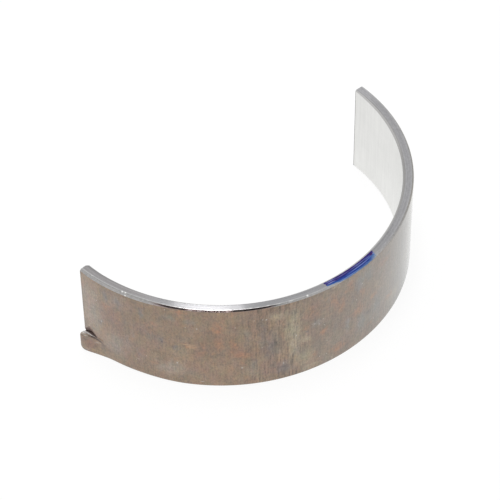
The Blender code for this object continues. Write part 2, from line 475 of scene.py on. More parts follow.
OLIVE_STAINS = (
    (30.2, 8.5, 1.1, 4.6, 1.0), (28.0, 12.6, 1.6, 0.9, 0.7), (32.0, 3.2, 1.5, 2.0, 0.5),
    (36.4, 14.0, 0.6, 0.35, 0.8), (24.6, 3.0, 1.6, 1.8, 0.3), (44.4, 9.0, 0.8, 0.6, 0.4),
    (14.2, 2.6, 2.2, 1.6, 0.3), (31.8, 6.7, 1.3, 0.8, 0.8), (32.6, 1.0, 1.5, 0.5, 0.5),
    (49.2, 2.8, 2.0, 1.3, 0.35), (58.0, 13.4, 4.5, 1.4, 0.3), (53.6, 6.2, 1.8, 1.5, 0.2),
    (66.0, 4.0, 3.0, 2.2, 0.25), (72.5, 11.0, 2.4, 2.0, 0.2),
)
PALE_STAINS = (
    (1.6, 8.5, 2.2, 5.5, 0.45), (6.2, 12.4, 2.2, 2.0, 0.3), (7.4, 13.6, 0.5, 0.5, 0.3),
    (9.9, 12.2, 0.3, 0.8, 0.3), (33.8, 9.0, 1.1, 0.5, 0.35), (5.6, 4.0, 2.4, 2.5, 0.4),
    (13.7, 2.8, 2.6, 1.7, 0.38), (30.8, 5.5, 0.5, 2.0, 0.3), (1.0, 0.62, 0.55, 0.25, 0.9),
    (2.5, 2.3, 0.35, 0.2, 0.6),
)
PLUM_STAINS = (
    (5.6, 8.4, 2.4, 2.8, 0.6), (4.4, 10.6, 1.5, 0.9, 0.5), (10.2, 9.4, 1.8, 1.4, 0.55),
    (9.0, 4.4, 1.8, 1.8, 0.5), (11.8, 7.2, 1.6, 1.1, 0.5), (17.8, 2.8, 2.4, 1.6, 0.4),
    (24.6, 13.2, 1.6, 1.2, 0.4), (26.4, 2.6, 1.8, 1.8, 0.7), (22.8, 4.4, 0.8, 1.2, 0.4),
    (33.4, 11.2, 1.0, 2.2, 0.3), (36.6, 11.4, 0.9, 2.0, 0.3), (1.1, 1.7, 1.4, 1.2, 1.0),
    (2.8, 1.7, 0.9, 0.9, 0.45), (38.8, 2.4, 1.0, 1.2, 0.4), (29.8, 0.9, 1.4, 0.6, 0.5),
)
# Dark marks: the trail behind the lug's sheared edge, which is dirt with painted shade in the crease along
# the lug's drawn edge, a struck line on the lug and drag marks by the crown
DARK_MARKS_AND_CREASE_SHADE = (
    (0.9, 3.09, 0.4, 0.09, 0.2), (1.3, 3.06, 0.4, 0.11, 0.55), (1.7, 3.03, 0.4, 0.16, 1.0),
    (2.1, 2.98, 0.45, 0.18, 1.0), (2.5, 2.9, 0.4, 0.19, 1.0), (2.9, 2.76, 0.35, 0.22, 0.85),
    (3.15, 2.56, 0.3, 0.26, 0.5), (3.4, 2.3, 0.5, 0.35, 0.3), (0.45, 2.98, 0.25, 0.12, 0.5),
    (0.8, 2.0, 0.9, 0.5, 0.24), (1.5, 1.6, 1.0, 0.6, 0.18), (4.0, 1.8, 0.9, 0.6, 0.15),
    (28.9, 2.5, 1.1, 0.28, 0.35), (27.6, 6.3, 0.4, 2.6, 0.3), (26.3, 7.6, 0.35, 3.0, 0.25),
    (28.5, 6.9, 0.25, 2.0, 0.25), (28.9, 2.0, 0.6, 0.8, 0.22), (12.6, 7.7, 0.16, 0.2, 0.5),
    (18.4, 13.2, 0.2, 0.1, 0.4), (19.4, 13.1, 0.12, 0.1, 0.4), (21.0, 3.7, 0.12, 0.16, 0.35),
    (14.0, 7.1, 0.3, 0.3, 0.25), (42.8, 5.0, 0.5, 0.4, 0.3), (39.0, 1.6, 0.5, 0.3, 0.25),
    (36.0, 13.8, 0.8, 0.15, 0.25), (0.95, 4.3, 0.2, 0.25, 0.4), (22.5, 6.8, 2.4, 3.8, 0.08),
    (10.5, 8.0, 2.4, 3.0, 0.06), (18.5, 12.2, 2.6, 2.4, 0.07), (42.7, 7.0, 2.0, 9.5, 0.09),
    (6.6, 7.0, 1.8, 2.6, 0.05), (27.0, 6.0, 1.8, 4.0, 0.06), (14.5, 12.0, 1.6, 2.4, 0.04),
    (44.6, 3.5, 2.6, 4.5, 0.05), (1.52, 1.5, 0.22, 0.18, 0.22), (1.1, 2.05, 0.2, 0.14, 0.22),
    (3.2, 2.7, 0.25, 0.12, 0.35), (0.45, 0.3, 0.4, 0.2, 0.3), (1.6, 0.2, 1.4, 0.17, 0.3),
    (3.8, 0.18, 1.8, 0.15, 0.25),
)
DARK_MARK_AND_SHADE = (0.05, 0.027, 0.019)

# Small bright nicks and scratches in the back, and a painted highlight along the lug's rounded edge: the two
# near arc 0 at heights about 3
SPECKS_AND_LUG_EDGE_HIGHLIGHT = (
    (14.6, 4.1, 0.14, 0.18, 0.5), (17.4, 11.2, 0.12, 0.16, 0.45), (23.2, 3.6, 0.15, 0.13, 0.6),
    (26.5, 12.35, 0.14, 0.11, 0.7), (26.0, 12.45, 0.11, 0.09, 0.5), (24.9, 12.5, 0.11, 0.09, 0.4),
    (3.4, 7.1, 0.12, 0.2, 0.45), (28.8, 3.2, 0.1, 0.25, 0.4), (22.4, 11.5, 0.08, 0.14, 0.4),
    (30.6, 7.9, 0.1, 0.2, 0.5), (33.3, 8.9, 0.12, 0.12, 0.45), (34.0, 8.5, 0.1, 0.12, 0.4),
    (34.6, 9.2, 0.12, 0.1, 0.4), (8.7, 2.6, 0.08, 0.1, 0.4), (35.2, 2.0, 0.1, 0.1, 0.4),
    (17.9, 0.9, 0.3, 0.1, 0.4), (40.2, 9.2, 0.12, 0.2, 0.35), (9.0, 2.9, 0.4, 0.05, 0.3),
    (0.2, 3.04, 0.5, 0.11, 0.35), (0.75, 2.96, 0.4, 0.08, 0.55), (2.5, 2.35, 0.3, 0.2, 0.2),
)
# Rusty scratches by the crown's marks and on the lug
RUST_SCRATCHES = (
    (16.2, 7.95, 1.1, 0.075, 0.95), (16.6, 7.62, 0.8, 0.07, 0.9), (16.9, 7.3, 0.5, 0.06, 0.8),
    (16.4, 7.5, 0.14, 0.6, 0.6), (2.85, 2.42, 0.32, 0.16, 0.45), (0.85, 0.66, 0.6, 0.2, 0.3),
    (2.1, 0.8, 0.7, 0.2, 0.22), (2.85, 1.25, 0.4, 0.25, 0.2), (3.4, 0.62, 0.5, 0.14, 0.3),
)

# Colours of the back, and tints that vary the tarnish
PALE_RUST = (0.53, 0.36, 0.22)
BROWN = (0.296, 0.21, 0.134)
UMBER = (0.235, 0.16, 0.103)
RUST = (0.385, 0.2, 0.108)
SLATE = (0.2, 0.17, 0.155)
OLIVE = (0.366, 0.318, 0.216)
PLUM = (0.255, 0.17, 0.135)
GREY = (0.236, 0.233, 0.217)
PALE = (0.37, 0.322, 0.285)
CLEAN = (0.234, 0.226, 0.205)
POLISHED = (0.42, 0.406, 0.368)
BRIGHT_SPECK_AND_HIGHLIGHT = (0.72, 0.7, 0.66)
REDDISH_TINT = (1.08, 0.966, 0.966)
GREENISH_TINT = (0.925, 1.0, 0.994)
YELLOWISH_TINT = (1.015, 1.008, 0.925)
BLUISH_TINT = (0.985, 0.993, 1.08)

# Where the brown tarnish thins out into plain grey steel, as arc lengths
TARNISH_THINS = (27.0, 36.0)
TARNISH_ENDS = (41.0, 54.0)
POLISHED_FROM = (52.0, 60.0)
THIN_TARNISH = 0.35
GREY_LACKS = 0.85  # share of the tints and of the deeper grain that plain grey steel is without
# Painted light: the tarnished part is a little lighter low down, as if lit from the pale table: heights and
# what is added to the shade
PAINTED_LIGHT_LOW = (2.5, 12.5, 0.075, 0.005)
LOWEST_SHADE = 0.935
# Darker line where the back meets the lug's parting face: arc lengths and shades
DARKER_END = (0.1, 0.35, 0.8, 1.0)
# Where the upright drawing lines show most, and their strength: what it gains there, and elsewhere
DRAWN_LINES = (22.5, 25.5, 30.5, 33.0)
DRAWN_STRENGTH = (0.7, 0.65)
DRAWN_DASHES = (0.52, 0.66)
DASH_SHADE = -0.3
STREAK_SHADE = 0.1
FINE_STREAK_SHADE = 0.14
MOTTLE_SHADE = 0.11
GRAIN_SHADE = 0.1  # of plain grey steel
GRAIN_SHADE_TARNISHED = 0.16  # added by the tarnish
STAIN_RAGGEDNESS = 2.2
STAIN_EDGE = (1.35, 0.1)  # a stain fades between these shares of its half lengths
RUST_IN_MOTTLE = (0.3, 0.6, 0.3, 1.0)  # rust is broken up by both noises
RUST_IN_GRAIN = (0.3, 0.6, 0.6, 1.0)
TINTED = (0.34, 0.66)
SPECKLED = (0.86, 0.9)
BACK_ROUGHNESS = (0.42, 0.58)
BACK_METALLIC = 0.85
BACK_BUMP = 0.012
COAT_ROUGHNESS = 0.14
COAT_IOR = 1.58


def stains(s, place, table):
    """Share of a stain at a place: the strongest of the soft spots in the table."""
    covered = 0.0
    for arc, across, half_arc, half_across, strength in table:
        scale = (1 / half_arc, 1 / half_across, 0.0)
        offset = (-arc / half_arc, -across / half_across, 0.0)
        reach = s.vector("LENGTH", s.vector("MULTIPLY_ADD", place, scale, offset))
        covered = s.larger(s.step(reach, *STAIN_EDGE, 0.0, strength), covered)
    return covered


def ragged_place(s, amount):
    """The place, shifted by noise so that stains get ragged outlines."""
    wobble = s.noise("ragged outlines", "Color")
    centred = s.vector("MULTIPLY_ADD", wobble, (amount, amount, 0.0), (-amount / 2, -amount / 2, 0.0))
    return s.vector("ADD", s.place, centred)


def back_colour(s, place, cleaner, tarnished, mottle, grain):
    """Brown tarnish that ends in plain grey steel, with stains, rust, tints and dark marks, partly painted
    shade by the lug.
    """
    colour = s.mix(s.step(s.noise("tarnish clouds"), *NARROW), UMBER, BROWN)
    colour = s.mix(stains(s, place, PALE_STAINS), colour, PALE)
    colour = s.mix(cleaner, colour, CLEAN)
    colour = s.mix(s.step(s.arc, *POLISHED_FROM), colour, POLISHED)
    for table, stain in ((OLIVE_STAINS, OLIVE), (PLUM_STAINS, PLUM), (GREY_STAINS, GREY),
                         (SLATE_STAINS, SLATE)):
        colour = s.mix(stains(s, place, table), colour, stain)
    broken_up = s.times(s.step(mottle, *RUST_IN_MOTTLE), s.step(grain, *RUST_IN_GRAIN))
    colour = s.mix(s.times(stains(s, place, RUST_STAINS), broken_up), colour, RUST)
    for name, low, high in (("redder", GREENISH_TINT, REDDISH_TINT), ("bluer", YELLOWISH_TINT, BLUISH_TINT)):
        tint = s.mix(s.step(s.noise(name), *TINTED), low, high)
        colour = s.mix(tarnished, colour, tint, "MULTIPLY")
    # dark marks, with painted shade in the crease along the lug's drawn edge
    return s.mix(stains(s, s.place, DARK_MARKS_AND_CREASE_SHADE), colour, DARK_MARK_AND_SHADE)


def back_shade(s, cleaner, tarnished, mottle, grain, streaks, fine_streaks):
    """Upright streaks and dashes of the drawn strip, mottle, grain, and painted light that makes it lighter
    low down.
    """
    start, full, fading, end = DRAWN_LINES
    drawn = s.times(s.step(s.arc, start, full), s.step(s.arc, end, fading))
    upright = s.plus(s.swing(streaks, STREAK_SHADE), s.swing(fine_streaks, FINE_STREAK_SHADE))
    shade = s.times(upright, s.math("MULTIPLY_ADD", drawn, *DRAWN_STRENGTH))
    dashes = s.times(s.step(s.noise("dashes"), *DRAWN_DASHES), drawn)
    shade = s.plus(shade, s.times(dashes, DASH_SHADE))
    shade = s.plus(shade, s.swing(mottle, MOTTLE_SHADE))
    grain_shade = s.math("MULTIPLY_ADD", tarnished, GRAIN_SHADE_TARNISHED, GRAIN_SHADE)
    shade = s.plus(shade, s.times(s.swing(grain, 1.0), grain_shade))
    shade = s.plus(shade, s.step(s.arc, *DARKER_END))
    # painted light from the table on the tarnished part, lighter low down
    painted_light_low = s.times(s.step(s.across, *PAINTED_LIGHT_LOW), s.minus(1.0, cleaner))
    return s.times(shade, s.plus(painted_light_low, LOWEST_SHADE))


def tarnished_back():
    """Steel back: brown tarnish with rust, slate and olive stains, upright streaks, bright specks, and
    painted highlight and shade by the lug.
    """
    s = Shader("tarnished_back")
    place = ragged_place(s, STAIN_RAGGEDNESS)
    wandering = s.node("ShaderNodeSeparateXYZ", {"Vector": place}).outputs["X"]
    cleaner = s.plus(s.step(wandering, *TARNISH_THINS, 0.0, THIN_TARNISH),
                     s.step(wandering, *TARNISH_ENDS, 0.0, 1 - THIN_TARNISH))
    tarnished = s.minus(1.0, s.times(cleaner, GREY_LACKS))
    mottle, grain = s.noise("tarnish mottle"), s.noise("back grain")
    streaks, fine_streaks = s.noise("streaks"), s.noise("fine streaks")
    colour = back_colour(s, place, cleaner, tarnished, mottle, grain)
    colour = s.shaded(colour, back_shade(s, cleaner, tarnished, mottle, grain, streaks, fine_streaks))
    # bright specks, and a painted highlight along the lug's rounded edge
    speck_and_highlight = s.larger(s.step(s.noise("specks"), *SPECKLED), stains(s, s.place, SPECKS_AND_LUG_EDGE_HIGHLIGHT))
    colour = s.mix(speck_and_highlight, colour, BRIGHT_SPECK_AND_HIGHLIGHT)
    colour = s.mix(stains(s, s.place, RUST_SCRATCHES), colour, PALE_RUST)
    roughness = s.step(s.plus(s.times(mottle, 0.5), s.times(streaks, 0.5)), *WIDE, *BACK_ROUGHNESS)
    relief = s.plus(s.times(fine_streaks, 0.5), grain)
    return s.finish(colour, roughness, BACK_METALLIC, s.bump(relief, BACK_BUMP),
                    Coat_Weight=1.0, Coat_Roughness=COAT_ROUGHNESS, Coat_IOR=COAT_IOR)


SIDE_STEEL = (0.42, 0.418, 0.43)
SIDE_STEEL_BY_LUG = (0.432, 0.418, 0.421)
SIDE_CHANGES = (9.0, 13.0)
SIDE_LINING = (0.48, 0.48, 0.48)
SEAM = (0.12, 0.12, 0.12)
SEAM_DEPTH = WALL - LINING_THICKNESS
SEAM_EDGE = 0.02
SEAM_LINE = (0.05, 0.01, 0.0, 0.6)
COARSE_SHARE = 0.6  # of the coarse turned lines beside the fine ones
TURNED_SHADE = (0.3, -0.15)  # of the turned lines: its range and its lowest value


def turned_lines(s):
    """Fine lines along the arc, as a lathe tool leaves them, from 0 to 1."""
    coarse = s.step(s.noise("coarse turned lines"), *NARROW)
    fine = s.step(s.noise("fine turned lines"), *WIDE)
    return s.plus(s.times(coarse, COARSE_SHARE), s.times(fine, 1 - COARSE_SHARE))


def along_arc(s, base, changes):
    """A value that starts at a base and changes smoothly over the given arc lengths."""
    value = base
    for start, end, change in changes:
        value = s.plus(s.step(s.arc, start, end, 0.0, change), value)
    return value


# Painted glints: small nicks painted as white spots that stand in for the light they catch: arc, depth, half
# length along the arc, half width, strength
PAINTED_GLINTS = (
    (7.05, 0.33, 0.2, 0.1, 1.0), (7.5, 0.35, 0.18, 0.09, 0.95), (7.6, 0.05, 0.14, 0.08, 0.9),
    (32.25, 0.2, 0.18, 0.14, 0.9), (28.2, 0.2, 0.4, 0.07, 0.4), (29.9, 0.2, 0.4, 0.08, 0.4),
    (26.8, 0.27, 0.25, 0.07, 0.75), (24.5, 0.27, 0.3, 0.07, 0.7), (23.3, 0.25, 0.3, 0.07, 0.6),
    (25.5, 0.27, 0.2, 0.06, 0.5), (1.95, 0.36, 0.22, 0.1, 0.45), (12.9, 0.33, 0.3, 0.06, 0.4),
    (10.8, 0.35, 0.25, 0.06, 0.3), (33.6, 0.2, 0.3, 0.06, 0.25),
)
PAINTED_GLINT_WHITE = (0.95, 0.95, 0.93)
WORN_STEEL = (0.66, 0.66, 0.66)
RING_DARK = (0.25, 0.235, 0.24)
# Bright line beside the outer chamfer: distance from it, soft edge, strength by noise, end along the arc
WEAR_LINE = 0.04
WEAR_LINE_EDGE = (0.1, 0.02)
WEAR_LINE_STRENGTH = (0.35, 0.6, 0.35, 1.0)
WEAR_LINE_ENDS = (33.0, 36.0)
# Fainter band round that line: its inner edge and its strength
WEAR_BAND = (0.22, 0.1)
WEAR_BAND_STRENGTH = (0.1, 0.45)
# Dark rings: where their noise sets in, depths, arc lengths with shares of their strength, and that strength
RING_LINES = (0.44, 0.58)
RING_DEPTH = (0.42, 0.52)
RING_FADES = (11.0, 15.0, 1.0, 0.25)
RING_STRENGTH = 0.24
# Grain of the side face, and the coarser one that sets in past the paint
SIDE_GRAIN = 0.08
COARSE_SIDE_GRAIN = 0.09
COARSE_GRAIN_FROM = (44.0, 48.0)
SIDE_ROUGHNESS = (0.3, 0.4)  # of the steel and of the paint
SIDE_SPECULAR = 0.2
SIDE_BUMP = 0.01
ALONG_ARC = 0.25  # turn of the brushed highlight
# Brightness of the side face at the lug, and its changes: from arc, to arc, change. The changes from arc 11
# to 24 are painted highlight and shade that sharpen the edges of the brushed highlight.
SIDE_SHADE = 1.04
SIDE_SHADE_AND_HIGHLIGHT_EDGES = (
    (3.0, 7.0, 0.09), (11.0, 13.0, -0.12), (14.0, 14.6, 0.14), (14.6, 17.0, -0.11), (19.5, 21.5, 0.06),
    (22.0, 22.8, 0.1), (23.1, 24.0, -0.26), (24.5, 27.5, 0.03), (28.0, 31.0, 0.03), (42.0, 45.0, -0.04),
    (47.5, 51.5, 0.09), (51.0, 55.0, 0.02), (64.0, 72.0, 0.05), (75.5, 78.5, 0.17),
)


def outer_wear(s):
    """Brighter band along the outer chamfer, with a bright line where the side face begins."""
    worn = s.noise("edge wear")
    edge = s.step(s.arc, CHAMFER_DEEP_UNTIL, CHAMFER_DEEP_UNTIL + CHAMFER_CHANGE,
                  OUTER_CHAMFER_AT_LUG, OUTER_CHAMFER)
    from_edge = s.minus(s.across, edge)
    band = s.times(s.step(from_edge, *WEAR_BAND), s.step(worn, *WIDE, *WEAR_BAND_STRENGTH))
    line = s.times(s.step(s.apart(from_edge, WEAR_LINE), *WEAR_LINE_EDGE), s.step(worn, *WEAR_LINE_STRENGTH))
    return s.larger(band, s.times(line, s.step(s.arc, *WEAR_LINE_ENDS, 1.0, 0.0)))


def inner_rings(s):
    """Dark fine rings on the inner half of the side face, by the lug."""
    ring = s.step(s.noise("inner rings"), *RING_LINES)
    inner = s.times(s.step(s.across, *RING_DEPTH), s.step(s.arc, *RING_FADES))
    return s.times(ring, s.times(inner, RING_STRENGTH))


def turned_shade(s, lines, grain, grain_shade, base, changes):
    """Shade of a turned surface: its lines, its grain and its changes along the arc."""
    shade = s.plus(s.math("MULTIPLY_ADD", lines, *TURNED_SHADE), s.swing(s.noise(grain), grain_shade))
    return s.plus(shade, along_arc(s, base, changes))


def turned_side():
    """Turned steel side face with the edge of the lining, bright wear, painted glints, painted highlight
    edges and the paint.
    """
    s = Shader("turned_side")
    lines = turned_lines(s)
    # the changes from arc 11 to 24 are painted highlight and shade at the edges of the brushed highlight
    shade = turned_shade(s, lines, "side grain", SIDE_GRAIN, SIDE_SHADE, SIDE_SHADE_AND_HIGHLIGHT_EDGES)
    coarse_grain = s.swing(s.noise("coarse side grain"), COARSE_SIDE_GRAIN)
    shade = s.plus(shade, s.times(coarse_grain, s.step(s.arc, *COARSE_GRAIN_FROM)))
    in_lining = s.step(s.across, SEAM_DEPTH - SEAM_EDGE, SEAM_DEPTH + SEAM_EDGE)
    steel = s.mix(s.step(s.arc, *SIDE_CHANGES), SIDE_STEEL_BY_LUG, SIDE_STEEL)
    colour = s.shaded(s.mix(in_lining, steel, SIDE_LINING), shade)
    colour = s.mix(inner_rings(s), colour, RING_DARK)
    colour = s.mix(outer_wear(s), colour, WORN_STEEL)
    # painted glints: white non-metal spots that stand in for light caught by small nicks
    painted_glint = stains(s, s.place, PAINTED_GLINTS)
    colour = s.mix(painted_glint, colour, PAINTED_GLINT_WHITE)
    colour = s.mix(s.step(s.apart(s.across, SEAM_DEPTH), *SEAM_LINE), colour, SEAM)
    painted, paint = blue_paint(s)
    colour = s.mix(painted, colour, paint)
    metallic = s.minus(1.0, s.larger(painted, painted_glint))
    roughness = s.step(painted, 0.0, 1.0, *SIDE_ROUGHNESS)
    tangent = s.node("ShaderNodeTangent", direction_type="UV_MAP", uv_map=STRIP_MAP)
    s.put(s.surface.inputs["Tangent"], tangent.outputs["Tangent"])
    return s.finish(colour, roughness, metallic, s.bump(lines, SIDE_BUMP), Anisotropic=1.0,
                    Anisotropic_Rotation=ALONG_ARC, Specular_IOR_Level=SIDE_SPECULAR)


# Dab of blue paint on the upper side face
PAINT_START = 35.1
PAINT_END = 44.1
PAINT_DARK = (0.026, 0.008, 0.14)
PAINT_BLUE = (0.008, 0.042, 0.275)
PAINT_PLUM = (0.05, 0.01, 0.08)
PAINT_THIN = (0.08, 0.2, 0.4)
PAINT_STREAK = (0.3, 0.37, 0.7)
PAINT_NAVY = (0.004, 0.01, 0.11)
# Outline: slants and edges of both ends, least depths along the outer rim, and how ragged it is
PAINT_START_SLANT = 0.3
PAINT_START_EDGE = (PAINT_START + 0.31, PAINT_START + 0.41)
PAINT_END_SLANT = 0.35
PAINT_END_EDGE = (PAINT_END + 0.1, PAINT_END - 0.3)
PAINT_OUTER_LIMIT = (PAINT_START, PAINT_START + 3.4, 0.27, 0.01)
PAINT_LIMIT_EDGE = (-0.03, 0.05)
PAINT_RAGGEDNESS = 0.5
PAINT_RAGGED_DEPTH = 0.3
# Thin paint: rubbed off the chamfer by the far end, along the outer rim, and on the far end itself
PAINT_RUBBED = (PAINT_END - 1.3, PAINT_END, 0.0, 0.5)
PAINT_RUBBED_DEPTH = (0.4, 0.1)
PAINT_RIM = (0.24, 0.08)
PAINT_RIM_THIN = 0.6
PAINT_FAR_END = (PAINT_END - 1.4, PAINT_END - 0.2)
PAINT_FAR_END_DEPTH = (0.62, 0.3)
PAINT_FAR_END_RAGGED = 4.0
# Dark paint: depths at which it sets in, mottled by noise, and how it draws back along the arc
PAINT_DARK_FROM = (0.4, 0.74)
PAINT_MOTTLE = 0.6
PAINT_DARK_RECEDES = (37.0, 41.5, -0.04, 0.2)
BRUSH_STREAKS = (0.58, 0.68, 0.0, 0.25)
# Thick paint by the far end, light lines that the brush left and dark gaps between them: columns as above
PAINT_PLUM_SPOTS = ((43.75, 0.72, 0.42, 0.2, 1.0),)
PAINT_LINES = (
    (36.2, 0.9, 0.9, 0.07, 0.8), (36.1, 0.6, 0.7, 0.07, 0.9), (38.2, 0.78, 1.4, 0.06, 0.45),
    (41.2, 0.8, 2.0, 0.06, 0.5), (41.2, 0.47, 2.4, 0.065, 0.75), (43.0, 0.66, 0.8, 0.05, 0.5),
    (38.6, 0.14, 2.2, 0.04, 0.5), (44.05, 0.6, 0.25, 0.11, 0.9),
)
PAINT_GAPS = ((41.2, 0.63, 2.7, 0.12, 1.0), (41.6, 0.3, 1.6, 0.07, 0.5), (37.4, 0.5, 1.2, 0.08, 0.6))


def paint_share(s, arc, past_limit):
    """Painted share of the upper side face and its chamfer."""
    position = s.node("ShaderNodeNewGeometry").outputs["Position"]
    height = s.node("ShaderNodeSeparateXYZ", {"Vector": position}).outputs["Z"]
    upper = s.step(height, WIDTH * 0.5 * MM, WIDTH * 0.6 * MM)
    start = s.step(s.math("MULTIPLY_ADD", s.across, PAINT_START_SLANT, arc), *PAINT_START_EDGE)
    end = s.step(s.minus(arc, s.times(s.across, PAINT_END_SLANT)), *PAINT_END_EDGE)
    inside = s.step(past_limit, *PAINT_LIMIT_EDGE)
    rubbed = s.times(s.step(s.arc, *PAINT_RUBBED), s.step(s.across, *PAINT_RUBBED_DEPTH))
    share = s.times(s.times(start, end), s.times(inside, upper))
    return s.times(share, s.minus(1.0, rubbed))


def paint_colour(s, past_limit):
    """Colour of the paint: darker by the bore, thin at the rim and far end, with lines of the brush."""
    mottled = s.times(s.minus(s.noise("paint mottle"), 0.5), PAINT_MOTTLE)
    from_bore = s.minus(s.plus(s.across, mottled), s.step(s.arc, *PAINT_DARK_RECEDES))
    colour = s.mix(s.step(from_bore, *PAINT_DARK_FROM), PAINT_BLUE, PAINT_DARK)
    rim = s.times(s.step(past_limit, *PAINT_RIM), PAINT_RIM_THIN)
    ragged_arc = s.plus(s.arc, s.times(mottled, PAINT_FAR_END_RAGGED))
    far_end = s.times(s.step(ragged_arc, *PAINT_FAR_END), s.step(s.across, *PAINT_FAR_END_DEPTH))
    colour = s.mix(s.larger(rim, far_end), colour, PAINT_THIN)
    colour = s.mix(stains(s, s.place, PAINT_GAPS), colour, PAINT_NAVY)
    streak = s.step(s.noise("brush streaks"), *BRUSH_STREAKS)
    colour = s.mix(s.larger(streak, stains(s, s.place, PAINT_LINES)), colour, PAINT_STREAK)
    return s.mix(stains(s, s.place, PAINT_PLUM_SPOTS), colour, PAINT_PLUM)


def blue_paint(s):
    """Share painted and colour of the paint, which is brushed on along the arc with a ragged outline."""
    ragged = s.times(s.minus(s.noise("paint edge"), 0.5), PAINT_RAGGEDNESS)
    arc = s.plus(s.arc, ragged)
    depth = s.plus(s.across, s.times(ragged, PAINT_RAGGED_DEPTH))
    past_limit = s.minus(depth, s.step(arc, *PAINT_OUTER_LIMIT))
    return paint_share(s, arc, past_limit), paint_colour(s, past_limit)


CHAMFER_STEEL = (0.45, 0.441, 0.437)
CHAMFER_TAN = (0.465, 0.442, 0.41)
CHAMFER_TAN_FROM = (49.0, 58.0)
CHAMFER_SHADE_CHANGES = ((29.0, 33.0, 0.04), (45.0, 50.0, -0.16), (51.0, 54.0, -0.05), (56.0, 62.0, -0.2))
CHAMFER_LINE_SHADE = (0.25, -0.15)
CHAMFER_GRAIN = 0.12
CHAMFER_BUMP = 0.002
CHAMFER_ROUGHNESS = 0.13
CRUST_ROUGHNESS = 0.6
PAINT_ROUGHNESS = 0.4
# Rusty stretch of the chamfer, with a thin film that dulls it up to where it clears
CHAMFER_RUSTY = (0.48, 0.385, 0.375)
RUSTY_STARTS = (10.5, 13.0)
RUSTY_ENDS = (28.0, 27.0)
FILM_CLEARS = (24.5, 22.5, 0.0, 0.05)
# Crust in dashes along part of the chamfer, brighter towards the crown
CRUST_START = 15.9
CRUST_END = 22.1
CRUST_EDGE = 0.3
CRUST_GAPS = (0.0, 0.06)
CRUST_DASHES = (0.42, 0.58)
CRUST_BRIGHTER = (17.5, 20.0, 0.92, 1.18)
CRUST_DULLS = 0.6
CRUST_DARK = (0.335, 0.24, 0.228)
CRUST_PALE = (0.5, 0.405, 0.39)


def chamfer_crust(s):
    """Share of the crust on the outer chamfer, and its colour."""
    dashes = s.noise("crust")
    stretch = s.times(s.step(s.arc, CRUST_START - CRUST_EDGE, CRUST_START + CRUST_EDGE),
                      s.step(s.arc, CRUST_END + CRUST_EDGE, CRUST_END - CRUST_EDGE))
    crusted = s.times(stretch, s.step(s.apart(dashes, 0.5), *CRUST_GAPS))
    colour = s.mix(s.step(dashes, *CRUST_DASHES), CRUST_DARK, CRUST_PALE)
    return crusted, s.shaded(colour, s.step(s.arc, *CRUST_BRIGHTER))


def outer_chamfer_steel():
    """Bright chamfer between the back and a side face: rusty and crusted in part, with painted glints and
    paint.
    """
    s = Shader("outer_chamfer")
    lines = turned_lines(s)
    shade = s.plus(s.math("MULTIPLY_ADD", lines, *CHAMFER_LINE_SHADE),
                   s.swing(s.noise("chamfer grain"), CHAMFER_GRAIN))
    shade = s.plus(shade, along_arc(s, 1.0, CHAMFER_SHADE_CHANGES))
    colour = s.mix(s.step(s.arc, *CHAMFER_TAN_FROM), CHAMFER_STEEL, CHAMFER_TAN)
    rusty = s.times(s.step(s.arc, *RUSTY_STARTS), s.step(s.arc, *RUSTY_ENDS))
    colour = s.shaded(s.mix(rusty, colour, CHAMFER_RUSTY), shade)
    film = s.times(rusty, s.step(s.arc, *FILM_CLEARS))
    crusted, crust = chamfer_crust(s)
    colour = s.mix(crusted, colour, crust)
    # painted glints: white non-metal spots that stand in for light caught by small nicks
    painted_glint = stains(s, s.place, PAINTED_GLINTS)
    colour = s.mix(painted_glint, colour, PAINTED_GLINT_WHITE)
    painted, paint = blue_paint(s)
    colour = s.mix(painted, colour, paint)
    covered = s.larger(s.larger(painted, painted_glint), s.times(crusted, CRUST_DULLS))
    metallic = s.minus(1.0, s.larger(covered, film))
    roughness = s.larger(s.step(crusted, 0.0, 1.0, CHAMFER_ROUGHNESS, CRUST_ROUGHNESS),
                         s.step(painted, 0.0, 1.0, CHAMFER_ROUGHNESS, PAINT_ROUGHNESS))
    return s.finish(colour, roughness, metallic, s.bump(lines, CHAMFER_BUMP))


BEVEL_METAL = (0.42, 0.415, 0.41)
BEVEL_LINE = (0.24, 0.235, 0.23)
BEVEL_LINE_EDGE = (0.07, 0.02, 0.0, 0.4)
BEVEL_SHADE = 1.2
BEVEL_SHADE_CHANGES = ((20.0, 40.0, -0.2), (50.0, 58.0, -0.12), (62.0, 70.0, 0.37), (72.0, 78.0, 0.15))
BEVEL_GRAIN = 0.06
BEVEL_ROUGHNESS = 0.34
BEVEL_BUMP = 0.006


def lining_bevel():
    """Grey turned bevel between the side face and the lining."""
    s = Shader("lining_bevel")
    lines = turned_lines(s)
    shade = turned_shade(s, lines, "bevel grain", BEVEL_GRAIN, BEVEL_SHADE, BEVEL_SHADE_CHANGES)
    colour = s.shaded(BEVEL_METAL, shade)
    colour = s.mix(s.step(s.apart(s.across, SEAM_DEPTH), *BEVEL_LINE_EDGE), colour, BEVEL_LINE)
    return s.finish(colour, BEVEL_ROUGHNESS, 1.0, s.bump(lines, BEVEL_BUMP))


BORED_RELIEF = 0.3  # height of the bored lines over that of the upright ones
LINING_METAL = (0.752, 0.752, 0.736)
LINING_UPRIGHT_SHADE = (0.965, 1.02)
LINING_CLOUD_SHADE = 0.025
LINING_BORED_SHADE = 0.012
LINING_LIGHTER_LOW = (9.0, 1.0, 0.0, 0.06)  # heights and what is added to the shade
LINING_ROUGHNESS = (0.32, 0.38)
LINING_BUMP = 0.003
BROKEN_EDGE = (0.25, 0.25, 0.245)
BROKEN_EDGE_ENDS = (PARTING_EDGE_BREAK + 0.15, PARTING_EDGE_BREAK + 0.03)


